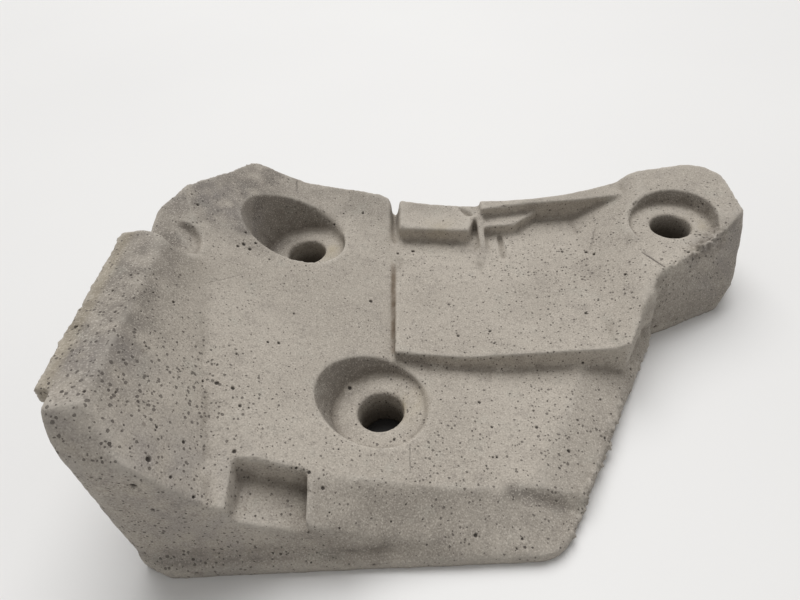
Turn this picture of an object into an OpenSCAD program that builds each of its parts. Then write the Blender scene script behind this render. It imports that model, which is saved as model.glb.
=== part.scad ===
// Concrete counterweight of a washing machine tub, one casting.
// It lies on its flat back. X runs along the length, Y from the front wall to the back edge, Z up.

/* [Outline] */
// Length from the left wall to the right end
body_l = 330; // [318:1:342]
// Depth of the left end, front to back
body_d = 237; // [230:1:244]
// How far the back edge comes forward at the right end
back_fall = 9; // [6:1:12]
// Radius of the hollow in the back edge
arc_r = 180; // [170:5:200]
// Depth of the hollow in the back edge
arc_in = 17; // [12:1:20]
// Distance from the left wall to the middle of the hollow
arc_x = 200; // [196:1:204]
// Distance from the left wall to the start of the slanted flank
flank_x = 191; // [186:1:196]
// Direction of the flank, measured from the front
flank_a = 59; // [57:1:61]
// Length of the flank up to the inner corner
flank_l = 134; // [128:1:140]
// Direction of the end wall, measured from the front
end_a = 32; // [29:1:35]
// Length of the left wall before the slanted corner
left_l = 157; // [150:1:164]
// Direction of the slanted left corner, measured from the left wall
slant_a = 26; // [23:1:29]
// Corner radius at the two ends of the front wall
front_r = 20; // [14:1:24]
// Corner radius at the right end
end_r = 26; // [20:1:28]
// Corner radius at the left end of the back edge
back_r = 14; // [10:1:20]

/* [Heights] */
// Height of the flange round the base
flange_h = 9; // [7:0.5:11]
// Width of the sloping top of the flange
flange_w = 5; // [3:0.5:6]
// Height of the bar along the left wall, the tallest place
bar_h = 98; // [94:1:104]
// Width of the flat top of the bar
bar_w = 15; // [11:1:18]
// Distance from the front to the end of the bar
bar_y = 19; // [16:1:23]
// Length of the bar
bar_l = 109; // [104:1:112]
// Lean of the inner side of the bar, in degrees
bar_a = 35; // [28:1:40]
// Lean of the front end of the bar, in degrees
bar_end_a = 35; // [28:1:42]
// Reach of the lip outside the left wall
lip_w = 7; // [4:0.5:9]
// Height of the lip
lip_h = 9; // [6:0.5:12]

/* [Curved face] */
// Radius of the hollow face that sits against the tub
face_r = 290; // [275:1:310]
// Distance from the left wall to the lowest line of the face
face_x = 201; // [198:1:206]
// Height of the lowest line of the face, at the bevel
face_low = 15; // [13.5:0.5:16.5]
// Rise of the face towards the back, in degrees
face_tilt = 2.6; // [2:0.1:3.2]
// Width of the bevel along the front
bevel_w = 26; // [23:0.5:28]
// Extra fall of the bevel, in degrees
bevel_a = 12; // [9:0.5:14]
// Width of the bevel along the flank
flank_bevel_w = 22; // [18:0.5:25]
// Fall of the bevel along the flank, in degrees
flank_bevel_a = 18; // [14:0.5:20]

// Distance from the front to the start of the rise at the back edge
rise_y = 186; // [182:1:190]
// Slope of that rise towards the back, in degrees
rise_a = 13; // [10:0.5:15]
// Slope of that rise towards the left, in degrees
rise_side_a = 14; // [12:0.5:16]

/* [Raised pad] */
// Distance from the left wall to the pad
pad_x = 122; // [118:1:125]
// Distance from the front to the step of the pad
pad_y = 93.5; // [91:0.5:98]
// Height of the pad at its step
pad_h = 29; // [28:0.5:30]
// Rise of the pad towards the back, in degrees
pad_tilt = 2; // [1.6:0.1:2.4]
// Draft of the pad's step, in degrees
pad_draft = 5; // [2:0.5:8]
// Height of the crown at the pad's left front corner, above the pad
crown_h = 7; // [5:0.5:8]
// Fall of the crown to the right, in degrees
crown_a = 11; // [8:0.5:14]
// Fall of the crown towards the back, in degrees
crown_fall = 3; // [2:0.5:5]
// Distance from the pad's left edge to the ramp
ramp_x = 112; // [104:1:116]
// Slope of the ramp up to the right end, in degrees
ramp_a = 22; // [18:0.5:25]
// Rise of the right end towards the end wall, in degrees
arm_tilt = 5; // [3:0.5:6]
// Rise of the right end towards the back, in degrees
arm_rise = 6; // [4:0.5:7]

/* [Bolt holes] */
// Diameter of the three bolt bores
bore_d = 22.5; // [18:0.5:26]
// Diameter of the seat round each bore
seat_d = 46.8; // [42:0.2:50]
// Half angle of the tapered recess above the middle and right seats, in degrees
seat_taper = 18; // [12:1:22]
// Half angle of the tapered recess above the left seat, in degrees
left_taper = 13; // [10:1:18]
// Rounding at the mouth of each bore
mouth_r = 2.5; // [1:0.5:3.5]
// Left hole, distance from the left wall
left_hole_x = 68; // [64:0.5:71]
// Left hole, distance from the front
left_hole_y = 180.5; // [177:0.5:184]
// Height of the left seat
left_seat = 38; // [35:0.5:40]
// Middle hole, distance from the left wall
mid_hole_x = 114; // [110:0.5:118]
// Middle hole, distance from the front
mid_hole_y = 68; // [66:0.5:70]
// Height of the middle seat
mid_seat = 22; // [19:0.5:24]
// Right hole, distance from the right end
right_hole_in = 44; // [40:0.5:48]
// Right hole, distance from the front
right_hole_y = 176.5; // [173:0.5:180]
// Height of the right seat
right_seat = 44.5; // [42:0.5:46]
// Depth of the right recess at the middle of its seat
right_deep = 2.8; // [2:0.2:4]

/* [Rib seats] */
// Distance from the front to the block and the steps
seats_y = 189; // [186:1:192]
// Height of the block on the back edge above the pad
block_h = 10; // [7:0.5:12]
// Width of the block
block_w = 46; // [40:1:50]
// Skew of the block's front, left to right
block_skew = 8; // [4:0.5:10]
// Thickness of the rib beside the block
rib_t = 4; // [3:0.5:5]
// Length of the rib in front of the block
rib_l = 20; // [14:1:26]
// Height of each of the two steps behind the pad
step_h = 7; // [5:0.5:8]
// Depth of each step
step_d = 12; // [10:0.5:14]
// Length of the long step
step_l = 60; // [52:1:66]
// Width of the grooves
groove_w = 3; // [2:0.5:4]
// Depth of the grooves
groove_d = 3; // [2:0.5:4]

/* [Pockets] */
// Width of the pocket in the front bevel, open to the front
pocket_w = 29; // [24:1:33]
// Distance from the left wall to the pocket
pocket_x = 56; // [53:1:59]
// Depth of the pocket
pocket_d = 16; // [12:0.5:18]
// Diameter of the round dimple at the bar
dimple_d = 27; // [22:1:29]
// Distance from the front to the dimple
dimple_y = 136; // [133:1:139]
// Depth of the dimple at its back
dimple_dip = 3.5; // [2:0.5:5]
// Width of the scoop at the right end of the front wall
scoop_w = 36; // [30:1:40]
// Fall of the scoop towards the flank, in degrees
scoop_a = 20; // [16:1:22]
// Slope of the scoop's back, in degrees
scoop_slope = 40; // [32:1:50]

/* [Hidden] */
$fn = 96;
// Far enough to pass through the whole casting
far = 400;
// Overlap of cutting shapes past the surface they cut
past = 1;
// How far a rounded corner stands proud, so that it crosses the walls beside it
ease = 0.05;
// Narrow flat edge outside the flange's sloping top
land = 0.5;
// Rise of the flange's sloping top for each millimetre of its width
flange_rise = 1.2;
// Right hole, distance from the left wall
right_hole_x = body_l - right_hole_in;
// Inner corner where the flank meets the end wall
inner = [flank_x + flank_l * cos(flank_a), flank_l * sin(flank_a)];
// Direction of the back edge, going left
back_a = 180 - atan(back_fall / body_l);
// Height of the hollow face over its lowest line at a place x
function hollow(x) = face_r - sqrt(face_r * face_r - (x - face_x) * (x - face_x));
// Height of the main face at a place x, y
function face_z(x, y) = face_low + hollow(x) + (y - bevel_w) * tan(face_tilt);
// Height of the pad at a place y
function pad_z(y) = pad_h + (y - pad_y) * tan(pad_tilt);

// Walls of the flange in turn, seen from above: a point, a direction
// and the corner radius at the far end of the wall
walls = [
    [[0, 0], 0, front_r],
    [[flank_x, 0], flank_a, 0],
    [inner, end_a, end_r],
    [[body_l, 0], 90, end_r],
    [[body_l, body_d - back_fall], back_a, back_r],
    [[-flange_w, left_l], 270 - slant_a, end_r],
    [[-flange_w, 0], 270, front_r]
];
count = len(walls);
back = 4;
function next(i) = (i + 1) % count;
function radius(i) = walls[i][2];
function normal(i) = [sin(walls[i][1]), -cos(walls[i][1])];
function along(i) = [cos(walls[i][1]), sin(walls[i][1])];
function cross2(a, b) = a[0] * b[1] - a[1] * b[0];
function on_wall(i, inset) = walls[i][0] - inset * normal(i);
// Where wall i meets the next wall, both moved inwards
function meet(i, inset) =
    let (p = on_wall(i, inset), q = on_wall(next(i), inset))
    p + along(i) * cross2(q - p, along(next(i))) / cross2(along(i), along(next(i)));
// Ends of the straight run of wall i
function run_end(i, inset) =
    radius(i) == 0 ? meet(i, inset) : meet(i, radius(i)) + (radius(i) - inset) * normal(i);
function run_start(i, inset) =
    let (h = (i + count - 1) % count)
    radius(h) == 0 ? meet(h, inset) : meet(h, radius(h)) + (radius(h) - inset) * normal(i);

// Box of the casting, for placing it over the middle of its base
back_y = meet(back, back_r)[1] + back_r + ease;
left_x = -max(lip_w, flange_w);
// Front end of the lip, clear of the corner
lip_y = bar_y + front_r / 2 - past;

// Outline seen from above, with the hollow in the back edge
module outline(inset) {
    difference() {
        union() {
            polygon([for (i = [0 : count - 1]) for (p = [run_start(i, inset), run_end(i, inset)]) p]);
            for (i = [0 : count - 1]) {
                if (radius(i) > 0) {
                    translate(meet(i, radius(i)))
                        circle(r = radius(i) - inset + ease);
                }
            }
        }
        translate([arc_x, body_d - back_fall * arc_x / body_l + arc_r - arc_in])
            circle(r = arc_r + inset, $fn = 240);
    }
}

// Flange round the base, with a sloping top that runs into every wall but the back one
module flange() {
    in = flange_w + past - land;
    rise = in * flange_rise;
    linear_extrude(height = flange_h)
        outline(0);
    for (i = [0 : count - 1]) {
        if (i != back) {
            start = run_start(i, land);
            run = norm(run_end(i, land) - start) + (radius(i) == 0 ? past : 0);
            translate([start[0], start[1], flange_h])
                rotate([90, 0, walls[i][1] + 90])
                    linear_extrude(height = run)
                        polygon([[0, 0], [in, 0], [in, rise]]);
        }
        if (radius(i) > 0) {
            translate(concat(meet(i, radius(i)), flange_h))
                cylinder(r1 = radius(i) - land + ease, r2 = radius(i) - land - in + ease, h = rise);
        }
    }
}

module blank() {
    flange();
    linear_extrude(height = bar_h)
        outline(flange_w);
    translate([-lip_w, lip_y, bar_h - lip_h])
        cube([lip_w + front_r, bar_y + bar_l - past - lip_y, lip_h]);
}

// Space of the tub over the hollow face, and the same cylinder tipped forward for the bevel:
// both turn about one point on the axis, so that they meet in a flat curve
module tub_space(tilt) {
    pivot_y = bevel_w - face_r * tan(face_tilt + bevel_a / 2);
    pivot_z = face_z(face_x, pivot_y) + face_r / cos(face_tilt);
    translate([face_x, pivot_y, pivot_z])
        rotate([tilt + 90, 0, 0])
            cylinder(r = face_r, h = 2 * far, center = true, $fn = 240);
}

// Everything above a level plane through the origin
module above() {
    translate([-far, -far, 0])
        cube(2 * far);
}

// Everything below it
module below() {
    mirror([0, 0, 1])
        above();
}

// Bevel along the flank, rising half as fast as the face
module flank_bevel() {
    start = on_wall(1, flank_bevel_w);
    translate([start[0], start[1], face_z(start[0], start[1])])
        rotate([face_tilt / 2, 0, 0])
            rotate([0, 0, flank_a - 90])
                rotate([0, flank_bevel_a, 0])
                    above();
}

// Scoop at the right end of the front wall; its back falls half as fast as its floor
module scoop() {
    x = flank_x - scoop_w / 2;
    translate([x, bevel_w, face_z(x, bevel_w)])
        intersection() {
            rotate([0, scoop_a, 0])
                above();
            rotate([scoop_slope, scoop_a / 2, 0])
                above();
        }
}

// Bar along the left wall, with a leaning inner side and front end
module bar() {
    side = bar_h * tan(bar_a);
    end = bar_h * tan(bar_end_a);
    top = bar_h + past;
    intersection() {
        translate([0, bar_y + bar_l, 0])
            rotate([90, 0, 0])
                linear_extrude(height = far)
                    polygon([[-far, 0], [bar_w + side, 0], [bar_w, bar_h], [bar_w, top], [-far, top]]);
        translate([-far, 0, 0])
            rotate([90, 0, 90])
                linear_extrude(height = 2 * far)
                    polygon([[bar_y - end, 0], [far, 0], [far, top], [bar_y, top], [bar_y, bar_h]]);
    }
}

// Pad with the ramp and the right end, and with a crown at its left front corner
module pad() {
    translate([0, pad_y, pad_h])
        intersection() {
            rotate([-pad_draft, 0, 0])
                translate([pad_x, 0, -far])
                    cube(2 * far);
            union() {
                rotate([pad_tilt, 0, 0])
                    below();
                translate([pad_x, 0, crown_h])
                    rotate([-crown_fall, crown_a, 0])
                        below();
                right_end();
            }
        }
}

// Ramp up to the right end, which falls to the front as far as the seat of its bolt
module right_end() {
    intersection() {
        rotate([pad_tilt, 0, 0])
            translate([pad_x + ramp_x, 0, 0])
                rotate([0, -ramp_a, 0])
                    below();
        translate([right_hole_x, right_hole_y - pad_y, right_seat + right_deep - pad_h])
            rotate([arm_rise, -arm_tilt, 0])
                below();
    }
}

// Rise of the face at the back edge, left of the pad
module back_rise() {
    translate([pad_x, rise_y, face_z(pad_x, rise_y)])
        intersection() {
            rotate([rise_a, rise_side_a, 0])
                below();
            translate([-2 * far, -far, -far])
                cube(2 * far);
        }
}

// Block, rib and steps that seat the ribs of the tub, standing on the pad
seat_z = pad_z(seats_y);
rib_x = pad_x + block_w + groove_w * 2;
step_x = rib_x + rib_t;
top_y = seats_y + step_d + groove_w;
module rib_seats() {
    linear_extrude(height = seat_z + block_h)
        polygon([[pad_x + groove_w, seats_y + block_skew / 2], [pad_x + block_w, seats_y - block_skew / 2],
            [rib_x - past, seats_y + step_d], [rib_x - past, far], [pad_x + groove_w, far]]);
    translate([rib_x, 0, 0])
        rotate([90, 0, 90])
            linear_extrude(height = rib_t)
                polygon([[seats_y - rib_l, 0], [seats_y - rib_l, pad_z(seats_y - rib_l)],
                    [seats_y + step_d, seat_z + block_h], [far, seat_z + block_h], [far, 0]]);
    linear_extrude(height = seat_z + step_h)
        polygon([[step_x - past, seats_y + groove_w], [step_x + step_l * 0.3, seats_y + groove_w],
            [step_x + step_l * 0.6, top_y + past], [step_x + step_l * 0.6, far], [step_x - past, far]]);
    linear_extrude(height = seat_z + 2 * step_h)
        polygon([[step_x - past, seats_y + step_d], [step_x + step_l / 2, top_y],
            [step_x + step_l, top_y], [far, top_y + step_d], [far, far], [step_x - past, far]]);
}

module grooves() {
    tip_y = seats_y - 3 * rib_l;
    translate([pad_x - groove_w / 2, seats_y, seat_z - groove_d])
        cube([groove_w, far, far]);
    translate([0, 0, pad_z(tip_y) - groove_d / 2])
        linear_extrude(height = far)
            polygon([[rib_x - groove_w, seats_y - rib_l], [rib_x, seats_y - rib_l], [rib_x, tip_y]]);
    translate([rib_x + rib_t * 3, seats_y - rib_l, seat_z - groove_d])
        cube([groove_w, rib_l + groove_w - past, far]);
    translate([0, 0, seat_z + block_h - groove_d])
        linear_extrude(height = far)
            polygon([[rib_x - 2 * groove_w, seats_y + step_d], [rib_x - past / 2, seats_y + step_d],
                [rib_x - 4 * groove_w, seats_y + 2 * step_d]]);
}

module pockets() {
    right = pocket_x + pocket_w;
    translate([0, bevel_w, 0])
        rotate([90, 0, 0])
            linear_extrude(height = bevel_w + past)
                polygon([[pocket_x, face_z(pocket_x, bevel_w) - pocket_d],
                    [right, face_z(right, bevel_w) - pocket_d], [right, far], [pocket_x, far]]);
    translate([bar_w, dimple_y, face_z(bar_w, dimple_y)])
        rotate([0, asin((face_x - bar_w) / face_r), 0])
            rotate([-atan(dimple_dip / dimple_d), 0, 0])
                translate([0, 0, -dimple_dip / 2])
                    cylinder(d = dimple_d, h = far / 4);
}

// Bolt bore with its rounded mouth, seat and tapered recess
module bolt_hole(x, y, z, taper) {
    translate([x, y, -past])
        cylinder(d = bore_d, h = z + 2 * past);
    translate([x, y, z]) {
        cylinder(h = far / 2, d1 = seat_d, d2 = seat_d + far * tan(taper));
        rotate_extrude()
            difference() {
                translate([0, -mouth_r])
                    square([bore_d / 2 + mouth_r, mouth_r + past]);
                translate([bore_d / 2 + mouth_r, -mouth_r])
                    circle(r = mouth_r, $fn = 48);
            }
    }
}

module bolt_holes() {
    bolt_hole(left_hole_x, left_hole_y, left_seat, left_taper);
    bolt_hole(mid_hole_x, mid_hole_y, mid_seat, seat_taper);
    bolt_hole(right_hole_x, right_hole_y, right_seat, seat_taper);
}

module counterweight() {
    color("tan")
        translate([-(body_l + ease + left_x) / 2, -(back_y - ease) / 2, 0])
            difference() {
                blank();
                difference() {
                    union() {
                        tub_space(face_tilt);
                        tub_space(face_tilt + bevel_a);
                        flank_bevel();
                        scoop();
                    }
                    bar();
                    pad();
                    back_rise();
                    rib_seats();
                }
                pockets();
                grooves();
                bolt_holes();
            }
}

counterweight();
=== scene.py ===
"""Cast concrete counterweight of a washing machine's tub, lying on its flat back as in the photograph.

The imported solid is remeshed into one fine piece, softened at its edges, chipped and pitted, and then
given a procedural concrete material.
"""

import math
from collections import namedtuple

import bmesh
import bpy
import numpy as np
from mathutils import Matrix, Vector, noise
from mathutils.bvhtree import BVHTree
from mathutils.kdtree import KDTree


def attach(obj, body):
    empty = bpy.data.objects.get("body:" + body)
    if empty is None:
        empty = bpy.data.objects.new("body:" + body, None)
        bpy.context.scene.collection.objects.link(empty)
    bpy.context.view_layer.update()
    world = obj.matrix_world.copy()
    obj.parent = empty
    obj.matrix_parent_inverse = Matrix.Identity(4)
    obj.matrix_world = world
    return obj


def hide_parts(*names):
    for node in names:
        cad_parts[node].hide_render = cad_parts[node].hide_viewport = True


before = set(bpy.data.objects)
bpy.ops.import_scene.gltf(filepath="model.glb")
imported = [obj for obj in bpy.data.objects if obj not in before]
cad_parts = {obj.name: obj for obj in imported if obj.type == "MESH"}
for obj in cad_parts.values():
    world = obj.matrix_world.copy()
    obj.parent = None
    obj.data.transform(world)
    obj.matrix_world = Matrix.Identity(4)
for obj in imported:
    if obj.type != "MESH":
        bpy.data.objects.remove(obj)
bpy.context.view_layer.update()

MM = 0.001
# Places on the casting are given in millimetres from its left wall and its front edge.
LEFT_WALL = -161.525
FRONT_EDGE = -117.92
Places = namedtuple("Places", "u v z")

# The photograph is 800 x 600 pixels, with this focal length in pixels.
PHOTO_W, PHOTO_H = 800, 600
FOCAL_PX = 604.0
SENSOR_MM = 36.0
NEAREST_SEEN = 10 * MM
CAMERA_U, CAMERA_V, CAMERA_Z = 141.0, -115.5, 260.0
PITCH = math.radians(42.0)
ROLL = math.radians(6.2)
YAW = math.radians(-3.66)

VOXEL = 0.8 * MM
WELD = 0.001 * MM
KEPT_TRIANGLES = 88000
SEED = 11
rng = np.random.default_rng(SEED)

# Each bolt hole's place and the height of the seat round it.
LEFT_HOLE, FRONT_HOLE, RIGHT_HOLE = (68, 180.5, 38), (114, 68, 22), (286, 176.5, 44.5)
HOLES = [LEFT_HOLE, FRONT_HOLE, RIGHT_HOLE]
# Where the bevel along the front begins, behind the front edge.
FRONT_CREASE = 26
# The rough crust along the right flank's foot, seen from above.
CRUST = (194, 5), (262, 121)
# The most crumbled stretch of the right end's broken edge.
CRUMBLED = (291, 151), (306, 163)
# Heights of the flange's seam and of the right end's parting line.
SEAM_Z = 11
PARTING_Z = 24


# Places and masks


def place(u, v, z=0.0):
    """A point of the row frame, from millimetres right of the left wall, behind the front edge and up."""
    return Vector(((u + LEFT_WALL) * MM, (v + FRONT_EDGE) * MM, z * MM))


def places_of(points):
    """The other way round: where points of the row frame lie on the casting, in millimetres."""
    x, y, z = points.T / MM
    return Places(x - LEFT_WALL, y - FRONT_EDGE, z)


def rise(values, low, high):
    """A smooth step from 0 at low to 1 at high."""
    t = np.clip((values - low) / (high - low), 0, 1)
    return t * t * (3 - 2 * t)


def hump(values, middle, width):
    """1 at the middle, falling to 0 on both sides."""
    return np.exp(-((values - middle) / width) ** 2)


def patch(where, **limits):
    """1 in a part of the casting, with a smooth step to 0 at each limit, such as u_from or z_to."""
    share = 1.0
    for limit, step in limits.items():
        axis, end = limit.split("_")
        inside = rise(getattr(where, axis), *step)
        share = share * (inside if end == "from" else 1 - inside)
    return share


def near_spot(where, u, v, reach):
    """1 at a place seen from above, falling to 0 away from it."""
    return np.exp(-((where.u - u) ** 2 + (where.v - v) ** 2) / reach ** 2)


def from_line(where, start, end):
    """How far each place lies from a straight line, seen from above."""
    u, v = where.u - start[0], where.v - start[1]
    du, dv = end[0] - start[0], end[1] - start[1]
    t = np.clip((u * du + v * dv) / (du * du + dv * dv), 0, 1)
    return np.hypot(u - t * du, v - t * dv)


def near_line(where, start, end, width):
    """1 on a straight line seen from above, falling to 0 away from it."""
    return np.exp(-(from_line(where, start, end) / width) ** 2)


# Camera


def turned(x, y, z):
    """A direction of the camera's level frame, turned into the row frame."""
    return Vector((math.cos(YAW) * x + math.sin(YAW) * y,
                   -math.sin(YAW) * x + math.cos(YAW) * y, z))


def camera_axes():
    """Right, down and forward of the camera in the row frame."""
    sin_p, cos_p = math.sin(PITCH), math.cos(PITCH)
    sin_r, cos_r = math.sin(ROLL), math.cos(ROLL)
    right = turned(cos_r, -sin_r * sin_p, -sin_r * cos_p)
    down = turned(-sin_r, -cos_r * sin_p, -cos_r * cos_p)
    return right, down, turned(0, cos_p, -sin_p)


def make_camera():
    right, down, forward = camera_axes()
    data = bpy.data.cameras.new("photo_camera")
    data.sensor_width = SENSOR_MM
    data.lens = FOCAL_PX / PHOTO_W * SENSOR_MM
    data.clip_start = NEAREST_SEEN
    camera = bpy.data.objects.new("photo_camera", data)
    turn = Matrix((right, -down, -forward)).transposed()
    camera.matrix_world = Matrix.Translation(place(CAMERA_U, CAMERA_V, CAMERA_Z)) @ turn.to_4x4()
    bpy.context.collection.objects.link(camera)
    bpy.context.scene.camera = camera


# The casting's mesh

# Noise on the faces: its height and the size of its features in millimetres, its octaves, and a shift that
# makes each one different.
Grain = namedtuple("Grain", "height size octaves shift")
FRACTAL_FALL, FRACTAL_STEP = 1.0, 2.0
# How far a vertex moves towards the mean of its neighbours in one round of softening.
SOFTENING = 0.5


class Cast:
    """The casting's mesh as arrays, so that it can be softened, chipped and pitted."""

    def __init__(self, mesh):
        self.mesh = mesh
        count = len(mesh.vertices)
        self.co = np.empty(count * 3)
        mesh.vertices.foreach_get("co", self.co)
        self.co = self.co.reshape(-1, 3)
        ends = np.empty(len(mesh.edges) * 2, np.int64)
        mesh.edges.foreach_get("vertices", ends)
        self.a, self.b = ends.reshape(-1, 2).T
        self.links = np.maximum(np.bincount(ends, minlength=count), 1)

    def write(self):
        self.mesh.vertices.foreach_set("co", self.co.ravel())
        self.mesh.update()

    def normals(self):
        self.write()
        out = np.empty(len(self.co) * 3)
        self.mesh.vertices.foreach_get("normal", out)
        return out.reshape(-1, 3)

    def places(self):
        return places_of(self.co)

    def spread(self, values):
        """The mean of each vertex's neighbours, one column at a time."""
        count = len(self.co)
        columns = []
        for col in np.atleast_2d(values.T):
            total = np.bincount(self.a, col[self.b], count) + np.bincount(self.b, col[self.a], count)
            columns.append(total / self.links)
        return np.array(columns).T.reshape(values.shape)

    def soften(self, rounds, share=SOFTENING):
        """Laplacian smoothing; share may be one number or one for each vertex."""
        share = np.broadcast_to(share, len(self.co))[:, None]
        for _ in range(rounds):
            self.co += share * (self.spread(self.co) - self.co)

    def ridges(self, rounds):
        """How far each vertex stands proud of its softened neighbourhood, in millimetres."""
        soft = self.co.copy()
        for _ in range(rounds):
            soft += SOFTENING * (self.spread(soft) - soft)
        return ((self.co - soft) * self.normals()).sum(axis=1) / MM

    def grain(self, kind):
        """Smooth noise from about -1 to 1 at each vertex."""
        spots = self.co / (kind.size * MM) + kind.shift
        if kind.octaves == 1:
            return np.array([noise.noise(p) for p in spots])
        return np.array([noise.fractal(p, FRACTAL_FALL, FRACTAL_STEP, kind.octaves) for p in spots])

    def relief(self, kinds):
        """Several kinds of noise laid over each other, in millimetres."""
        return sum(kind.height * self.grain(kind) for kind in kinds)

    def push(self, depth_mm, normals=None):
        """Moves each vertex outwards along its normal."""
        normals = self.normals() if normals is None else normals
        self.co += normals * (depth_mm * MM)[:, None]


def bake_modifiers(obj):
    """Replaces the object's mesh by what its modifiers make of it."""
    graph = bpy.context.evaluated_depsgraph_get()
    made = bpy.data.meshes.new_from_object(obj.evaluated_get(graph))
    obj.modifiers.clear()
    obj.data = made


def remesh(obj):
    """Even small faces round the whole of the object, with what overlaps made one."""
    change = obj.modifiers.new("voxels", "REMESH")
    change.mode = "VOXEL"
    change.voxel_size = VOXEL
    bake_modifiers(obj)


def thin_out(obj, triangles):
    """Fewer triangles, mostly on the flat faces."""
    now = sum(len(p.vertices) - 2 for p in obj.data.polygons)
    decimate = obj.modifiers.new("thin", "DECIMATE")
    decimate.ratio = min(1.0, triangles / now)
    bake_modifiers(obj)


def voxel_copy(node):
    """A new object with the CAD node's shape, remeshed into even small faces."""
    mesh = node.data.copy()
    welded = bmesh.new()
    welded.from_mesh(mesh)
    bmesh.ops.remove_doubles(welded, verts=welded.verts, dist=WELD)
    welded.to_mesh(mesh)
    welded.free()
    obj = bpy.data.objects.new("cast_concrete", mesh)
    bpy.context.collection.objects.link(obj)
    remesh(obj)
    return obj


# The right end and the front left corner

# The right end leans in below its parting line and is broken along its top: outside corners at three heights,
# from the inner corner round to the right side.
END_FOOT = [(265, 126, 0), (312, 147.5, 0), (325, 172, 0)]
END_PARTING = [(268.5, 131.5, PARTING_Z), (319, 150, PARTING_Z), (329.5, 170, PARTING_Z)]
END_TOP = [(269, 133.5, 44.5), (306, 164, 45.5), (335, 175, 47)]
END_INSIDE = (295, 175, 20)
NEAR_END = dict(u_from=(262, 268), v_to=(195, 215))
# The block that fills this end: how far right and up it may reach, and how far in from its corners.
FILL_RIGHT, FILL_TOP = 324, 42
FILL_LEFTWARDS, FILL_BACKWARDS = 6, 9
# The front left corner leans in in the same way.
CORNER_FRONT = [(5.3, 8, 24), (8, 5.5, 2), (19.3, 0.7, 0), (19.3, 0.7, 24)]
CORNER_LEFT = [(4.5, 8.5, 22), (7.2, 6.7, 0), (4.2, 40, 0), (1.5, 40, 22)]
CORNER_INSIDE = (30, 40, 12)
NEAR_FRONT = dict(u_to=(17, 24), z_to=(22, 30))
NEAR_LEFT = dict(v_to=(30, 60), z_to=(21, 28))


def flat_through(corners, inside):
    """Middle and outward normal of the flat face that fits four corners best."""
    p = [place(*c) for c in corners]
    middle = (p[0] + p[1] + p[2] + p[3]) / 4
    normal = (p[2] - p[0]).cross(p[3] - p[1]).normalized()
    return middle, normal if normal.dot(middle - place(*inside)) > 0 else -normal


def press(cast, corners, inside, share):
    """Moves what stands out of a flat face back onto it."""
    middle, normal = flat_through(corners, inside)
    out = np.maximum((cast.co - np.array(middle)) @ np.array(normal), 0)
    cast.co -= (out * share)[:, None] * np.array(normal)


def end_faces():
    """The four flat faces of the right end's lower and upper wall."""
    for low, high in [(END_FOOT, END_PARTING), (END_PARTING, END_TOP)]:
        for i in range(2):
            yield [low[i], low[i + 1], high[i + 1], high[i]]


def end_block():
    """A convex block that fills the right end's wall out to its corners."""
    block = bmesh.new()
    for u, v, z in END_FOOT + END_PARTING + END_TOP:
        u, z = min(u, FILL_RIGHT), min(z, FILL_TOP)
        block.verts.new(place(u, v, z))
        block.verts.new(place(u - FILL_LEFTWARDS, v + FILL_BACKWARDS, z))
    bmesh.ops.convex_hull(block, input=block.verts)
    loose = [v for v in block.verts if not v.link_faces]
    bmesh.ops.delete(block, geom=loose, context="VERTS")
    return block


def reshape_ends(obj):
    """Fills and presses the right end and the front left corner into the shape that the photograph shows."""
    block = end_block()
    block.from_mesh(obj.data)
    block.to_mesh(obj.data)
    block.free()
    remesh(obj)
    cast = Cast(obj.data)
    near_end = patch(cast.places(), **NEAR_END)
    for corners in end_faces():
        press(cast, corners, END_INSIDE, near_end)
    press(cast, CORNER_FRONT, CORNER_INSIDE, patch(cast.places(), **NEAR_FRONT))
    press(cast, CORNER_LEFT, CORNER_INSIDE, patch(cast.places(), **NEAR_LEFT))
    cast.write()
    remesh(obj)


# Wear

# What lies lower than this belongs to the flat back, which stays flat.
FLAT_BACK = 0.4
FIRST_ROUNDS = 3
CREASE_ROUNDS = 90

# Where faces run softly into each other: the bar's front end, the flange's seam along the front, the feet of
# the pad's crown, of the ramp beside it and of the back rise.
SOFT_PARTS = [
    dict(u_from=(4, 10), u_to=(40, 50), v_to=(17, 21), v_from=(7, 10), z_from=(55, 62)),
    dict(v_to=(10, 13), z_from=(7.5, 10), z_to=(24, 32)),
    dict(u_from=(124, 132), u_to=(176, 186), v_from=(98, 103), v_to=(172, 180)),
    dict(u_from=(212, 222), v_from=(106, 114), v_to=(182, 187), u_to=(252, 258), z_from=(26, 28)),
    dict(u_from=(70, 84), u_to=(112, 117), v_from=(186, 196), v_to=(216, 222), z_from=(30, 34)),
]
# The bar's foot is softer towards the back.
BAR_FOOT = dict(u_from=(4, 10), u_to=(50, 58), z_from=(40, 50), v_to=(124, 132))
BAR_FOOT_SOFTER = (50, 100)
BAR_FOOT_LEAST, BAR_FOOT_MORE = 0.15, 0.6
# The notch between the back rise and the rib seats.
SLOT = dict(u_from=(113, 117), u_to=(124, 128), v_from=(176, 182))
SLOT_SOFTNESS = 0.6
# Where the flank meets the right end: place and reach.
INNER_CORNER = (261, 122, 9)

# The bevel along the front falls more steeply to its right half: over what depth, from where to where this
# sets in, and by what share.
FALL_DEPTH = 22
FALL_FROM = (70, 125)
FALL_SHARE = 0.36
# How much lower the right seat lies than in the CAD, how far from the hole this fades out behind and before
# it, where the one turns into the other, and how far below the seat it begins.
SEAT_DROP = 3.0
SEAT_BEHIND = (22.5, 24.5)
SEAT_BEFORE = (19.5, 43.5)
SEAT_TURN = (-14, -2)
SEAT_BELOW = (-14, -4)

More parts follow.
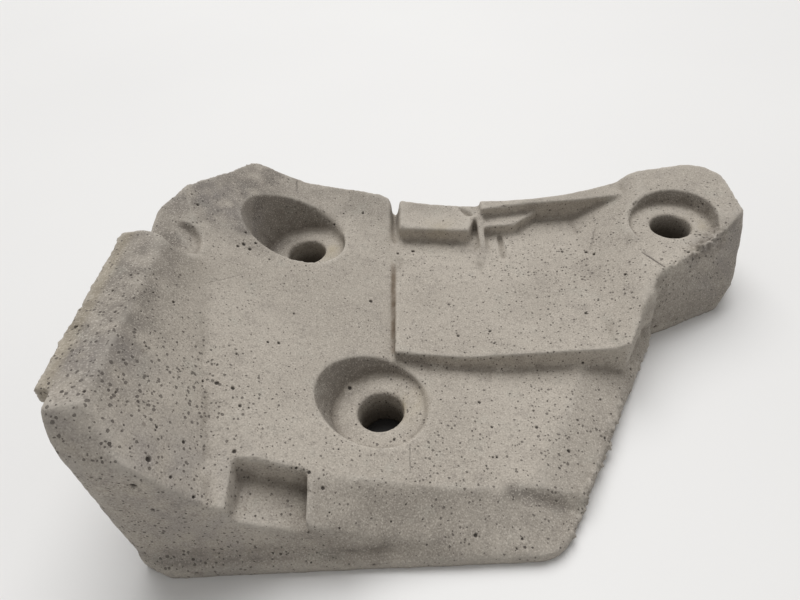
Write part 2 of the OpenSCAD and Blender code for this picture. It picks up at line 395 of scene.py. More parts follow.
# Uneven faces, with rougher ones where they stand steeply.
SWELL = [Grain(0.30, 38, 1, 0), Grain(0.14, 11, 1, 7), Grain(0.09, 3.2, 2, 3)]
ROUGH_SIDE = [Grain(0.22, 6, 3, 5), Grain(0.10, 2.0, 1, 9)]
SIDE_FACES = (0.2, 0.6)
# Ragged flash along the outside of the lip
LIP = dict(u_to=(-3.5, 0.5), z_from=(87, 90))
RAGGED = [Grain(0.9, 2.6, 3, 21), Grain(0.9, 14, 1, 2)]
RAGGED_INSET = 0.3
# Crumbs and a torn seam along the flange, thickest on the flank
SEAM_CRUMBS = Grain(4.0, 3.4, 2, 31)
SEAM_WIDTH = 5.0
FLANK = dict(u_from=(190, 215), u_to=(255, 265))
SEAM_LEAST = 0.35
# Crust along the flank's foot
CRUST_CRUMBS = Grain(1.7, 3.8, 3, 91)
CRUST_WIDTH = 4.5
CRUST_HEIGHT = dict(z_to=(9, 14), z_from=(0.5, 3))
CRUST_MORE = 0.1
CRUST_POWER = 1.5
# Crumbled stones where the edge of the right end broke off
BROKEN_FACE = Grain(0.6, 5, 3, 61)
BROKEN_WIDTH = 8
BROKEN_HEIGHT = dict(z_from=(22, 32))
STONES = Grain(2.0, 3.2, 2, 71)
STONES_WIDTH = 5
STONES_HEIGHT = dict(z_from=(34, 42))
# Chips out of the ridges
CHIPS = Grain(2.2, 5.5, 3, 41)
CHIPS_FEWER = 0.12
CHIPPED_RIDGES = (0.12, 0.45)
RIDGE_ROUNDS = 8


def soft_creases(where):
    """How soft the creases are at each place, from 0 to 1."""
    parts = [patch(where, **part) for part in SOFT_PARTS]
    softer = BAR_FOOT_LEAST + BAR_FOOT_MORE * rise(where.v, *BAR_FOOT_SOFTER)
    parts.append(patch(where, **BAR_FOOT) * softer)
    parts.append(patch(where, **SLOT) * SLOT_SOFTNESS)
    parts.append(near_spot(where, *INNER_CORNER))
    return np.maximum.reduce(parts)


def lower_faces(cast, where):
    """Lets the front bevel fall more steeply and the right seat lie lower, with the face in front of it."""
    fall = np.clip((FRONT_CREASE - where.v) / FALL_DEPTH, 0, 1) * rise(where.u, *FALL_FROM)
    cast.co[:, 2] *= 1 - FALL_SHARE * fall
    hole_u, hole_v, seat = RIGHT_HOLE
    far = np.hypot(where.u - hole_u, where.v - hole_v)
    behind = 1 - rise(far, *SEAT_BEHIND)
    before = 1 - rise(far, *SEAT_BEFORE)
    drop = before + (behind - before) * rise(where.v - hole_v, *SEAT_TURN)
    cast.co[:, 2] -= SEAT_DROP * MM * drop * rise(where.z - seat, *SEAT_BELOW)


def roughen(cast):
    """Uneven faces, a ragged lip, crumbs along the flange and stones along the broken edge."""
    normals = cast.normals()
    side = 1 - rise(normals[:, 2], *SIDE_FACES)
    cast.push(cast.relief(SWELL) + side * cast.relief(ROUGH_SIDE), normals)
    where = cast.places()
    cast.co[:, 0] -= patch(where, **LIP) * (cast.relief(RAGGED) - RAGGED_INSET) * MM
    flank = SEAM_LEAST + (1 - SEAM_LEAST) * patch(where, **FLANK)
    seam = side * hump(where.z, SEAM_Z, SEAM_WIDTH) * flank
    cast.push(seam * np.maximum(cast.grain(SEAM_CRUMBS), 0) ** 2 * SEAM_CRUMBS.height)
    crust = near_line(cast.places(), *CRUST, CRUST_WIDTH) * patch(where, **CRUST_HEIGHT)
    bulge = np.maximum(cast.grain(CRUST_CRUMBS) + CRUST_MORE, 0) ** CRUST_POWER
    cast.push(crust * bulge * CRUST_CRUMBS.height)
    now = cast.places()
    broken = near_line(now, END_TOP[0], END_TOP[1], BROKEN_WIDTH) * patch(where, **BROKEN_HEIGHT)
    stones = near_line(now, *CRUMBLED, STONES_WIDTH) * patch(where, **STONES_HEIGHT)
    cast.push(broken * cast.relief([BROKEN_FACE]) + stones * cast.relief([STONES]))


def chip(cast):
    """Breaks small chips out of the ridges."""
    proud = rise(cast.ridges(RIDGE_ROUNDS), *CHIPPED_RIDGES)
    nicks = np.maximum(cast.grain(CHIPS) - CHIPS_FEWER, 0)
    cast.push(-proud * nicks * CHIPS.height)


def wear(obj):
    """Softens, lowers, roughens and chips the casting, and keeps its back flat."""
    cast = Cast(obj.data)
    low = cast.places().z < FLAT_BACK
    cast.soften(FIRST_ROUNDS)
    where = cast.places()
    lower_faces(cast, where)
    cast.soften(CREASE_ROUNDS, SOFTENING * soft_creases(where))
    roughen(cast)
    chip(cast)
    cast.co[low, 2] = 0
    cast.co[:, 2] = np.maximum(cast.co[:, 2], 0)
    cast.write()


# Pores and cracks

# Large pores that the photograph shows: pixel and radius in millimetres.
LARGE_PORES = [
    (149, 459, 1.3), (133, 486, 1.5), (157, 427, 0.7), (203, 381, 0.7), (217, 383, 0.9), (233, 388, 1.0),
    (184, 442, 0.8), (371, 301, 1.1), (449, 304, 0.9), (413, 251, 1.3), (490, 331, 0.8), (492, 427, 0.7),
    (569, 451, 1.0), (350, 388, 1.1), (194, 497, 0.8), (171, 477, 0.8), (244, 244, 1.2), (250, 249, 1.0),
    (238, 246, 0.9), (256, 243, 0.9), (84, 391, 0.7), (268, 342, 0.7), (586, 252, 1.1), (157, 207, 0.9),
]
# Thin cracks and scratches that the photograph shows: pixels of their ends, radius and depth in millimetres.
THIN_LINES = [
    ((375, 453), (374, 471), 0.4, 0.12), ((410, 444), (410, 473), 0.45, 0.2),
    ((205, 283), (243, 275), 0.4, 0.15), ((430, 256), (453, 259), 0.4, 0.12),
    ((537, 292), (582, 293), 0.35, 0.08), ((642, 252), (665, 267), 0.6, 0.4),
    ((484, 341), (503, 346), 0.4, 0.12), ((297, 179), (297, 191), 0.9, 0.4),
    ((595, 228), (590, 250), 0.8, 0.3),
]
# A thin line is a row of bowls, so many pixels apart. It wanders by so many pixels with the noise, and its
# depth follows this stretch of a half wave, so that it fades to its ends.
LINE_STEP = 0.45
LINE_WANDER, WANDER_BENDS, WANDER_ROW = 0.8, 3.0, 0.5
FADE_START, FADE_LENGTH = 0.15, 0.7

# Small pores: how many, their radii in millimetres, how few are large, and their depth for their radius. They
# keep off the underside and the foot.
SCATTERED = 240
SMALLEST, LARGEST = 0.38, 0.95
SIZE_POWER = -0.4
PORE_DEPTH = 0.9
LOWEST_FACING = -0.5
PORES_ABOVE = 2.5
# Keeps a face without any area from being divided by.
NO_AREA = 1e-12

# Where the casting is pitted more or less: a place, the reach of the patch and how much it adds.
PITTED = [(20, 30, 45, 1.0), (175, 60, 40, 0.9), (205, 140, 38, 0.8), (30, 90, 35, 0.5), (225, 60, 25, 0.6),
          (275, 145, 40, 0.6), (30, 165, 30, 0.5), (85, 110, 45, -0.35), (95, 200, 35, -0.3)]
PITTED_MEAN, PITTED_SWAY, PITTED_SIZE = 0.55, 0.6, 40
PITTED_LEAST, PITTED_MOST = 0.08, 2.0

# Round each spot the edges are split until they are this short, in millimetres or as a share of its radius,
# within a reach that shrinks from round to round.
REFINE_ROUNDS = 3
SHORTEST_EDGE, EDGE_SHARE = 0.32, 0.42
REFINE_SHARE, REFINE_FIRST, REFINE_LESS = 1.25, 1.6, 0.5
# How much the bowls differ in stretch and depth, and where this is read from the noise.
BOWL_REACH = 1.5
STRETCH_SWAY, STRETCH_NOISE = 0.35, (1.7, 0.3, 0.9)
DEPTH_MEAN, DEPTH_SWAY, DEPTH_NOISE = 0.95, 0.3, (2.3, 4.1, 0.2)


class Sight:
    """Finds the place on the casting that a pixel of the photograph shows."""

    def __init__(self, obj):
        self.tree = BVHTree.FromPolygons([v.co for v in obj.data.vertices],
                                         [p.vertices for p in obj.data.polygons])
        self.eye = place(CAMERA_U, CAMERA_V, CAMERA_Z)
        self.axes = camera_axes()

    def at(self, px, py):
        """The point and the face normal under a pixel."""
        right, down, forward = self.axes
        ray = right * (px - PHOTO_W / 2) + down * (py - PHOTO_H / 2) + forward * FOCAL_PX
        point, normal, _, _ = self.tree.ray_cast(self.eye, ray.normalized())
        return point, normal


def line_spots(sight, start, end, radius, depth):
    """A row of small bowls along a thin line, fading to its ends."""
    count = int(math.dist(start, end) / LINE_STEP)
    for i in range(count + 1):
        t = i / count
        wander = LINE_WANDER * noise.noise((start[0] + t * WANDER_BENDS, start[1], WANDER_ROW))
        px = start[0] + (end[0] - start[0]) * t + wander
        py = start[1] + (end[1] - start[1]) * t + wander
        point, normal = sight.at(px, py)
        if point is not None:
            fade = 0.5 + 0.5 * math.sin(math.pi * (FADE_START + t * FADE_LENGTH))
            yield point, normal, radius, depth * fade


def seen_spots(sight):
    """The large pores and the thin lines, as places with a normal, a radius and a depth."""
    spots = []
    for px, py, radius in LARGE_PORES:
        point, normal = sight.at(px, py)
        if point is not None:
            spots.append((point, normal, radius, radius))
    for line in THIN_LINES:
        spots.extend(line_spots(sight, *line))
    return spots


def pitting(points):
    """How pitted the casting is at each point of the row frame, about 0 to 2."""
    where = places_of(points)
    sway = np.array([noise.noise(p) for p in points / (PITTED_SIZE * MM)])
    total = PITTED_MEAN + PITTED_SWAY * sway
    for u, v, reach, more in PITTED:
        total += more * near_spot(where, u, v, reach)
    return np.clip(total, PITTED_LEAST, PITTED_MOST)


def scattered_pores(obj, count):
    """Random places on the casting with a normal, a radius and a depth: many small, few large."""
    mesh = obj.data
    mesh.calc_loop_triangles()
    tris = np.empty(len(mesh.loop_triangles) * 3, np.int64)
    mesh.loop_triangles.foreach_get("vertices", tris)
    tris = tris.reshape(-1, 3)
    co = np.empty(len(mesh.vertices) * 3)
    mesh.vertices.foreach_get("co", co)
    corners = co.reshape(-1, 3)[tris]
    cross = np.cross(corners[:, 1] - corners[:, 0], corners[:, 2] - corners[:, 0])
    size = np.linalg.norm(cross, axis=1)
    normals = cross / np.maximum(size, NO_AREA)[:, None]
    middle = corners.mean(axis=1)
    in_reach = (normals[:, 2] > LOWEST_FACING) * (middle[:, 2] > PORES_ABOVE * MM)
    weight = size * pitting(middle) * in_reach
    picked = rng.choice(len(tris), size=count, p=weight / weight.sum())
    radii = np.clip(SMALLEST * (1 - rng.random(count)) ** SIZE_POWER, SMALLEST, LARGEST)
    return [(Vector(middle[i]), Vector(normals[i]), r, r * PORE_DEPTH) for i, r in zip(picked, radii)]


def vertex_tree(edit):
    """A search tree of the vertices, by their numbers."""
    edit.verts.ensure_lookup_table()
    tree = KDTree(len(edit.verts))
    for i, vert in enumerate(edit.verts):
        tree.insert(vert.co, i)
    tree.balance()
    return tree


def refine_near(edit, spots):
    """Splits the faces round each spot until they are small enough for its bowl."""
    for passes in range(REFINE_ROUNDS):
        tree = vertex_tree(edit)
        split = set()
        for point, _, radius, _ in spots:
            reach = radius * MM * REFINE_SHARE + (REFINE_FIRST - REFINE_LESS * passes) * MM
            limit = max(SHORTEST_EDGE, EDGE_SHARE * radius) * MM
            for _, i, _ in tree.find_range(point, reach):
                for edge in edit.verts[i].link_edges:
                    if edge.calc_length() > limit:
                        split.add(edge)
        if not split:
            break
        bmesh.ops.subdivide_edges(edit, edges=list(split), cuts=1, use_grid_fill=True)


def sway_of(number, step, y, z):
    """A number of noise from about -1 to 1 for each spot."""
    return noise.noise((number * step, y, z))


def dig(obj, spots):
    """Presses a bowl into the mesh at each spot, and returns how deep each vertex lies in one."""
    edit = bmesh.new()
    edit.from_mesh(obj.data)
    refine_near(edit, spots)
    tree = vertex_tree(edit)
    deep = np.zeros(len(edit.verts))
    moved = {}
    for number, (point, normal, radius, depth) in enumerate(spots):
        side = normal.orthogonal().normalized()
        stretch = 1.0 + STRETCH_SWAY * sway_of(number, *STRETCH_NOISE)
        # How dark the bowl is painted, as shade inside the pore, grows with its depth for its radius.
        dark = min(1.0, depth / radius)
        bowl = depth * (DEPTH_MEAN + DEPTH_SWAY * sway_of(number, *DEPTH_NOISE))
        for co, i, _ in tree.find_range(point, radius * MM * BOWL_REACH):
            offset = (co - point) / (radius * MM)
            along = offset.dot(side)
            flat = math.sqrt(max(0.0, offset.length_squared - offset.dot(normal) ** 2
                                 + (stretch * stretch - 1) * along * along))
            if flat < 1:
                share = math.sqrt(1 - flat * flat)
                if share * dark > deep[i]:
                    deep[i] = share * dark
                    moved[i] = co - normal * (bowl * share * MM)
    for i, co in moved.items():
        edit.verts[i].co = co
    bmesh.ops.triangulate(edit, faces=[f for f in edit.faces if len(f.verts) > 4])
    edit.to_mesh(obj.data)
    edit.free()
    return deep


# Stains, grime and painted shade, kept as one number from 0 to 1 at every vertex

# Rounds of softening that tell hollows from ridges, and the millimetres over which each sets in.
STAIN_ROUNDS = 10
HOLLOWS, RIDGES = (0.10, 0.5), (0.12, 0.5)
# Hollows are darkened by dirt and painted shade.
HOLLOW_DIRT_AND_SHADE = 0.5
STEEP_FACES = (0.4, 0.75)
# Blotches in the stains, and how each stain follows them: its mean and its sway.
BLOTCH = Grain(1, 9, 3, 51)
STONE_SPECKLE = Grain(1, 2.5, 2, 83)
OCHRE_BLOTCH, DAMP_BLOTCH, GRIME_AND_SHADE_BLOTCH, SPECKLED = (0.5, 1), (0.55, 0.9), (0.7, 0.7), (0.45, 0.8)
# Ochre stains beside the bores and in the rib seats: place, height and size.
OCHRE_SPOTS = [(128, 70, 22, 9), (82, 181, 38, 9), (300, 177, 45, 8), (150, 192, 40, 7)]
OCHRE_LIP, LIP_STRENGTH = dict(u_to=(-2, 2), z_from=(84, 90)), 0.45
# Damp tints: place and size.
DAMP_SPOTS = [(12, 45, 16), (26, 178, 18), (4, 12, 18), (40, 10, 26), (316, 160, 22), (296, 152, 12)]
DIRTY_STONES = dict(z_from=(32, 40))
# Painted shade down the bores from some way below their seats, and painted shade on the recesses' walls.
BORE_EDGE = (11.6, 13)
BORE_BELOW, BORE_FADE = 4, (0, 12)
RECESS_EDGE, RECESS_FOOT = (32, 40), (-5, 0)
RECESS_STRENGTH = 0.75
# Blotchy grime on the bar's top and behind the bar, a blotchy darker band along the back edge, and blotchy
# painted shade on the front bevel, which faces away from the light: its strength and the part that has it.
FACE_GRIME_AND_SHADE = [
    (0.98, dict(u_to=(14, 32), v_from=(12, 50))),
    (1.1, dict(u_to=(45, 70), v_from=(140, 165))),
    # A darker band along the back edge.
    (0.5, dict(v_from=(195, 215), u_to=(230, 260))),
    # Painted shade on the front bevel.
    (0.42, dict(v_to=(FRONT_CREASE - 1.5, FRONT_CREASE + 0.5), u_from=(60, 90))),
]
# Blotchy grime along the crust and beside the pad's right corner: strength, line, width and part.
LINE_GRIME = [
    (0.6, CRUST, 5, dict(z_to=(15, 20))),
    (0.5, ((247, 98), (264, 126)), 5, dict(z_from=(20, 24))),
]
# Painted shade on the wall at the back of the scoop near the front right corner.
SCOOP_WALL, SCOOP_WIDTH = ((172, 25), (194, 20)), 4.0
# Painted shade on the bevel along the flank, by its distance from the crust.
FLANK_BEVEL, BEVEL_PART, BEVEL_STRENGTH = (22, 24), dict(v_to=(90, 94)), 0.24
# The dark line along the front's seam.
SEAM_LINE, SEAM_LINE_WIDTH, SEAM_STRENGTH = dict(v_to=(9, 12), u_to=(185, 200)), 1.3, 0.9
# Painted shade on the flange's sides and on the right end's wall, and grime along the wall's parting line.
FLANGE, FLANGE_STRENGTH = dict(z_to=(12, 17)), 0.5
END_WALL, END_STRENGTH = dict(u_from=(262, 268), z_from=(2, 8), z_to=(40, 46)), 0.5
PARTING, PARTING_WIDTH, PARTING_STRENGTH = dict(u_from=(262, 268)), 1.6, 0.6


def follow(noise_values, mean, sway):
    """Noise turned into a share from 0 to 1."""
    return np.clip(mean + sway * noise_values, 0, 1)


def dirt_and_shade_of(cast, where, proud):
    """Dirt and painted shade in hollows, dirt between crumbled stones, and painted shade down the bores."""
    stones = near_line(where, *CRUMBLED, STONES_WIDTH) * patch(where, **DIRTY_STONES)
    parts = [HOLLOW_DIRT_AND_SHADE * rise(-proud, *HOLLOWS),
             stones * follow(cast.grain(STONE_SPECKLE), *SPECKLED)]
    for u, v, seat in HOLES:
        far = np.hypot(where.u - u, where.v - v)
        # Painted shade down each bore.
        parts.append((1 - rise(far, *BORE_EDGE)) * rise(seat - BORE_BELOW - where.z, *BORE_FADE))
    return np.maximum.reduce(parts)


def ochre_of(where, blotch):
    """Ochre stains, and the lip's yellowish edge."""
    parts = [patch(where, **OCHRE_LIP) * LIP_STRENGTH]
    for u, v, z, size in OCHRE_SPOTS:
        far2 = (where.u - u) ** 2 + (where.v - v) ** 2 + (where.z - z) ** 2
        parts.append(np.exp(-far2 / size ** 2) * follow(blotch, *OCHRE_BLOTCH))
    return np.maximum.reduce(parts)


def damp_of(where, blotch):
    """Damp grey tints."""
    spots = [near_spot(where, *spot) for spot in DAMP_SPOTS]
    return np.maximum.reduce(spots) * follow(blotch, *DAMP_BLOTCH)


def grime_and_shade_of(where, steep, blotch):
    """Painted shade on the recesses' walls, bevels, scoop wall, flange and right end wall, and grime on the
    bar and the back.
    """
    uneven = follow(blotch, *GRIME_AND_SHADE_BLOTCH)
    parts = []
    # Painted shade on each recess's steep walls.
    for u, v, seat in HOLES:
        far = np.hypot(where.u - u, where.v - v)
        wall = (1 - rise(far, *RECESS_EDGE)) * rise(where.z - seat, *RECESS_FOOT)
        parts.append(RECESS_STRENGTH * steep * wall)
    for strength, part in FACE_GRIME_AND_SHADE:
        parts.append(strength * uneven * patch(where, **part))
    for strength, line, width, part in LINE_GRIME:
        parts.append(strength * uneven * near_line(where, *line, width) * patch(where, **part))
    # Painted shade on the scoop's wall.
    parts.append(near_line(where, *SCOOP_WALL, SCOOP_WIDTH))
    # Painted shade on the flank's bevel.
    bevel = (1 - rise(from_line(where, *CRUST), *FLANK_BEVEL)) * patch(where, **BEVEL_PART)
    parts.append(BEVEL_STRENGTH * bevel)
    seam = hump(where.z, SEAM_Z, SEAM_LINE_WIDTH) * patch(where, **SEAM_LINE)
    parts.append(SEAM_STRENGTH * uneven * seam)
    # Painted shade on the flange's steep sides.
    parts.append(FLANGE_STRENGTH * uneven * steep * patch(where, **FLANGE))
    # Painted shade on the right end's wall.
    parts.append(END_STRENGTH * steep * patch(where, **END_WALL))
    parting = patch(where, **PARTING) * hump(where.z, PARTING_Z, PARTING_WIDTH)
    parts.append(PARTING_STRENGTH * uneven * steep * parting)
    return np.maximum.reduce(parts)


def add_values(mesh, name, values):
    """Keeps one number for each vertex, for the material to read."""
    layer = mesh.attributes.new(name, "FLOAT", "POINT")
    layer.data.foreach_set("value", np.asarray(values, np.float32))


def paint(obj):
    """Writes the stains, the grime, the painted shade and the pitting to the mesh."""
    cast = Cast(obj.data)
    where = cast.places()
    proud = cast.ridges(STAIN_ROUNDS)
    blotch = cast.grain(BLOTCH)
    steep = 1 - rise(cast.normals()[:, 2], *STEEP_FACES)
    layers = {
        "dirt_and_shade": dirt_and_shade_of(cast, where, proud),
        "ochre": ochre_of(where, blotch),
        "pale": rise(proud, *RIDGES),
        "damp": damp_of(where, blotch),
        "pitted": pitting(cast.co) / PITTED_MOST,
        "grime_and_shade": grime_and_shade_of(where, steep, blotch),
    }
    for name, values in layers.items():
        add_values(obj.data, name, np.clip(values, 0, 1))


# Material

# Noise in the colour: features in a metre, detail and roughness.
BROAD, CLOUDY, FINE, SAND = (16, 3, 0.5), (75, 5, 0.62), (420, 4, 0.65), (1300, 2, 0.6)
# Spots: cells in a metre, and the largest spot's radius as a share of a cell. Noise bends them out of round:
# its features in a metre, its detail and its reach.
BLOTS, SMALL_PITS, TINY_PITS = (130, 0.24), (290, 0.30), (620, 0.64)
SPOT_POWER, SPOT_EDGE = 3.0, 0.05
TINY_STRENGTH = 0.8
SPOT_BEND = 500.0, 2.0, 1.1 * MM
PITTED_SHARE, PITTED_BASE = 0.7, 0.35
# Dirt and painted shade in the inner corner along the pad's left side: its place, half width and two ends, in
# millimetres, and how long it takes to fade in at the front and out at the back.
PAD_LINE = 121.2, 2.4, (97, 168)
LINE_START, LINE_END = 3, 12
LINE_CORE = 0.2
ROUGH_SWAY, ROUGH_BASE = 0.25, 0.72
SHINE = 0.3
BUMP_FINE, BUMP_SAND, BUMP_PITS = 0.6, 0.35, 0.9
BUMP_STRENGTH, BUMP_DEPTH = 0.55, 0.6 * MM

STONE, STONE_PALE = (0.385, 0.346, 0.296, 1), (0.445, 0.402, 0.346, 1)
# Grime, and painted shade on walls and bevels that face away from the light.
GRIME_AND_PAINTED_SHADE = (0.165, 0.146, 0.126, 1)
CLOUD_DARK, CLOUD_PALE = (0.29, 0.258, 0.225, 1), (0.40, 0.385, 0.335, 1)
FINE_DARK = (0.23, 0.205, 0.18, 1)
SAND_PALE, SAND_DARK = (0.60, 0.55, 0.48, 1), (0.19, 0.168, 0.146, 1)
DAMP_SHADE = (0.215, 0.20, 0.205, 1)
OCHRE_SHADE = (0.40, 0.335, 0.215, 1)
# Paler on the ridges.
RIDGE_PALE = (0.55, 0.51, 0.45, 1)
# Dirt, and painted shade in hollows and down the bores.
DIRT_AND_PAINTED_SHADE = (0.105, 0.085, 0.065, 1)
LINE_DIRT_AND_SHADE = (0.12, 0.085, 0.055, 1)
BLOT_SHADE = (0.13, 0.105, 0.085, 1)
# Painted shade inside the small pits and the pores.
PIT_PAINTED_SHADE = (0.065, 0.055, 0.047, 1)
PORE_PAINTED_SHADE = (0.05, 0.043, 0.038, 1)


class Nodes:
    """Short ways to add linked shader nodes."""

    def __init__(self, owner, shader="Principled BSDF"):
        owner.use_nodes = True
        self.tree = owner.node_tree
        self.shader = self.tree.nodes[shader]

    def add(self, kind, settings=None, **inputs):
        made = self.tree.nodes.new(kind)
        for name, value in (settings or {}).items():
            setattr(made, name, value)
        for name, value in inputs.items():
            self.feed(made.inputs[name.replace("_", " ")], value)
        return made

    def feed(self, socket, value):
        if isinstance(value, bpy.types.NodeSocket):
            self.tree.links.new(value, socket)
        else:
            socket.default_value = value

    def math(self, operation, a, b=0.0, clamp=False):
        made = self.add("ShaderNodeMath", {"operation": operation, "use_clamp": clamp})
        self.feed(made.inputs[0], a)
        self.feed(made.inputs[1], b)
        return made.outputs[0]

    def between(self, value, low, high):
        """Runs smoothly from 0 where value is low to 1 where it is high."""
        made = self.add("ShaderNodeMapRange", {"interpolation_type": "SMOOTHSTEP"})
        self.feed(made.inputs["Value"], value)
        made.inputs["From Min"].default_value = low
        made.inputs["From Max"].default_value = high
        return made.outputs["Result"]

    def mix(self, share, a, b):
        made = self.add("ShaderNodeMix", {"data_type": "RGBA"})
        self.feed(made.inputs["Factor"], share)
        self.feed(made.inputs[6], a)
        self.feed(made.inputs[7], b)
        return made.outputs[2]

    def noise(self, where, scale, detail, rough=0.5):
        made = self.add("ShaderNodeTexNoise", None, Vector=where, Scale=scale, Detail=detail, Roughness=rough)
        return made.outputs["Fac"]

    def bent(self, where, scale, detail, reach):
        """Places moved a little by noise."""
        wobble = self.add("ShaderNodeTexNoise", None, Vector=where, Scale=scale, Detail=detail)
        small = self.add("ShaderNodeVectorMath", {"operation": "SCALE"}, Scale=reach)
        self.feed(small.inputs[0], wobble.outputs["Color"])
        moved = self.add("ShaderNodeVectorMath", {"operation": "ADD"})
        self.feed(moved.inputs[0], where)
        self.feed(moved.inputs[1], small.outputs[0])
        return moved.outputs[0]

    def dots(self, where, scale, largest, how_many):
        """Round spots of random size, one to a cell: 1 in the middle, 0 outside."""
        cells = self.add("ShaderNodeTexVoronoi", None, Vector=where, Scale=scale)
        chance = self.add("ShaderNodeSeparateColor", None, Color=cells.outputs["Color"]).outputs[0]
        few_large = self.math("POWER", chance, SPOT_POWER)
        size = self.math("MULTIPLY", few_large, self.math("MULTIPLY", how_many, largest))
        inside = self.math("SUBTRACT", size, cells.outputs["Distance"])
        return self.between(inside, 0.0, SPOT_EDGE)

    def stripe(self, where, u, width, v_range):
        """1 on a line that runs straight back at u, with soft sides and ends."""
        parts = self.add("ShaderNodeSeparateXYZ", None, Vector=where).outputs
        middle, start, end = place(u, 0).x, place(0, v_range[0]).y, place(0, v_range[1]).y
        off = self.math("ABSOLUTE", self.math("SUBTRACT", parts["X"], middle))
        on = self.math("MULTIPLY",
                       self.between(parts["Y"], start - LINE_START * MM, start + LINE_START * MM),
                       self.between(parts["Y"], end + LINE_END * MM, end - LINE_END * MM))
        return self.math("MULTIPLY", self.between(off, width * MM, LINE_CORE * width * MM), on)

    def value(self, name):
        return self.add("ShaderNodeAttribute", {"attribute_name": name}).outputs["Fac"]


def concrete():
    material = bpy.data.materials.new("concrete")
    n = Nodes(material)
    where = n.add("ShaderNodeTexCoord").outputs["Object"]
    broad, cloudy, fine, sand = [n.noise(where, *kind) for kind in (BROAD, CLOUDY, FINE, SAND)]
    pitted = n.math("ADD", n.math("MULTIPLY", n.value("pitted"), PITTED_SHARE), PITTED_BASE)
    bent = n.bent(where, *SPOT_BEND)
    blots, small, tiny = [n.dots(bent, *kind, pitted) for kind in (BLOTS, SMALL_PITS, TINY_PITS)]
    pits = n.math("MAXIMUM", small, n.math("MULTIPLY", tiny, TINY_STRENGTH))
    # Dirt and painted shade in the corner along the pad's left side.
    pad_line = n.math("MULTIPLY", n.stripe(where, *PAD_LINE), n.between(cloudy, 0.25, 0.6))

    # Each layer over the one before it: where it lies, how much it covers and its shade.
    layers = [
        # Grime, and painted shade on walls and bevels that face away from the light.
        (n.value("grime_and_shade"), 0.9, GRIME_AND_PAINTED_SHADE),
        (n.between(cloudy, 0.5, 0.75), 0.55, CLOUD_DARK),
        (n.between(cloudy, 0.45, 0.25), 0.35, CLOUD_PALE),
        (n.between(fine, 0.52, 0.72), 0.6, FINE_DARK),
        (n.between(sand, 0.52, 0.68), 0.55, SAND_PALE),
        (n.between(sand, 0.46, 0.3), 0.6, SAND_DARK),
        (n.value("damp"), 0.32, DAMP_SHADE),
        (n.value("ochre"), 0.5, OCHRE_SHADE),
        # Paler on the ridges.
        (n.value("pale"), 0.3, RIDGE_PALE),
        # Dirt, and painted shade in hollows and down the bores.
        (n.value("dirt_and_shade"), 0.8, DIRT_AND_PAINTED_SHADE),
        # Dirt and painted shade in the corner along the pad's left side.
        (pad_line, 0.85, LINE_DIRT_AND_SHADE),
        (blots, 0.35, BLOT_SHADE),
        # Painted shade inside the small pits.
        (pits, 0.88, PIT_PAINTED_SHADE),
        # Painted shade inside the pores, by their depth.
        (n.between(n.value("pore"), 0.05, 0.8), 0.9, PORE_PAINTED_SHADE),
    ]
    color = n.mix(n.between(broad, 0.35, 0.65), STONE, STONE_PALE)
    for lies, covers, shade in layers:
        color = n.mix(n.math("MULTIPLY", lies, covers), color, shade)
    n.feed(n.shader.inputs["Base Color"], color)

    rough = n.math("ADD", n.math("MULTIPLY", fine, ROUGH_SWAY), ROUGH_BASE)
    n.feed(n.shader.inputs["Roughness"], rough)
    n.shader.inputs["Specular IOR Level"].default_value = SHINE
    height = n.math("ADD", n.math("MULTIPLY", fine, BUMP_FINE), n.math("MULTIPLY", sand, BUMP_SAND))
    height = n.math("SUBTRACT", height, n.math("MULTIPLY", pits, BUMP_PITS))
    bump = n.add("ShaderNodeBump", None, Strength=BUMP_STRENGTH, Distance=BUMP_DEPTH, Height=height)
    n.feed(n.shader.inputs["Normal"], bump.outputs["Normal"])
    return material


# Floor and light

FLOOR_SIDE = 4.0
FLOOR_NOISE = (3, 2)
FLOOR_SHADE, FLOOR_PALE = (0.74, 0.735, 0.73, 1), (0.79, 0.785, 0.775, 1)
FLOOR_ROUGH = 0.55
# A painted shadow on the floor where it shows through the bores, out to this far from their middles.
BORE_DARK = (13.5 * MM, 12.5 * MM)
BORE_PAINTED_SHADOW = (0.035, 0.033, 0.032, 1)
SUN_FROM = Vector((-0.02, 0.64, 1.0))
SUN_STRENGTH = 2.46
SUN_ANGLE = math.radians(50)
SKY_SHADE = (1.0, 0.99, 0.975, 1)
SKY_STRENGTH = 0.38
SKY_SEEN = 0.75


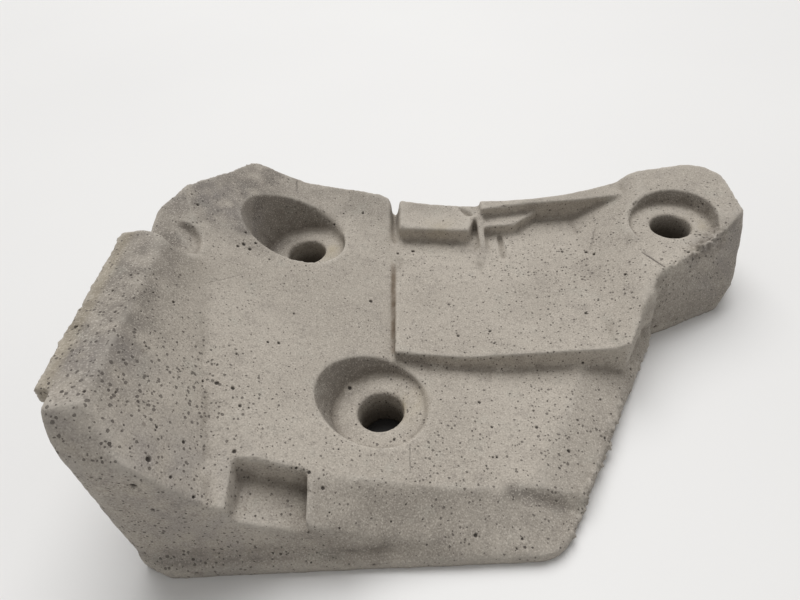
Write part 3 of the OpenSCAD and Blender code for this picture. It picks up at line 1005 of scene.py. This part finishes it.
def make_floor():
    mesh = bpy.data.meshes.new("floor")
    s = FLOOR_SIDE
    mesh.from_pydata([(-s, -s, 0), (s, -s, 0), (s, s, 0), (-s, s, 0)], [], [(0, 1, 2, 3)])
    floor = bpy.data.objects.new("floor", mesh)
    bpy.context.collection.objects.link(floor)
    material = bpy.data.materials.new("floor")
    n = Nodes(material)
    where = n.add("ShaderNodeTexCoord").outputs["Object"]
    color = n.mix(n.noise(where, *FLOOR_NOISE), FLOOR_SHADE, FLOOR_PALE)
    # Darkens the floor under each bore: a painted shadow, seen only through the bore.
    for u, v, _ in HOLES:
        far = n.add("ShaderNodeVectorMath", {"operation": "DISTANCE"})
        n.feed(far.inputs[0], where)
        far.inputs[1].default_value = place(u, v)
        color = n.mix(n.between(far.outputs["Value"], *BORE_DARK), color, BORE_PAINTED_SHADOW)
    n.feed(n.shader.inputs["Base Color"], color)
    n.shader.inputs["Roughness"].default_value = FLOOR_ROUGH
    mesh.materials.append(material)


def make_sun():
    data = bpy.data.lights.new("window", "SUN")
    data.energy = SUN_STRENGTH
    data.angle = SUN_ANGLE
    lamp = bpy.data.objects.new("window", data)
    lamp.rotation_euler = SUN_FROM.to_track_quat("Z", "Y").to_euler()
    bpy.context.collection.objects.link(lamp)


def make_sky():
    """The camera, reflections and clear parts see a pale sky, and the rest is lit by a plain one."""
    world = bpy.data.worlds.new("studio")
    bpy.context.scene.world = world
    n = Nodes(world, "Background")
    n.shader.inputs["Color"].default_value = SKY_SHADE
    path = n.add("ShaderNodeLightPath").outputs
    shown = path["Is Camera Ray"]
    for ray in ["Is Glossy Ray", "Is Transmission Ray"]:
        shown = n.math("ADD", shown, path[ray], clamp=True)
    seen = n.add("ShaderNodeMapRange", None, Value=shown, To_Min=SKY_STRENGTH, To_Max=SKY_SEEN)
    n.feed(n.shader.inputs["Strength"], seen.outputs["Result"])


make_camera()
casting = voxel_copy(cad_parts["counterweight"])
reshape_ends(casting)
wear(casting)
thin_out(casting, KEPT_TRIANGLES)
pore_depth = dig(casting, seen_spots(Sight(casting)) + scattered_pores(casting, SCATTERED))
casting.data.polygons.foreach_set("use_smooth", np.ones(len(casting.data.polygons), bool))
add_values(casting.data, "pore", pore_depth)
paint(casting)
casting.data.materials.clear()
casting.data.materials.append(concrete())
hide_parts("counterweight")
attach(casting, "root")

make_floor()
make_sun()
make_sky()
bpy.context.scene.view_settings.view_transform = "Standard"
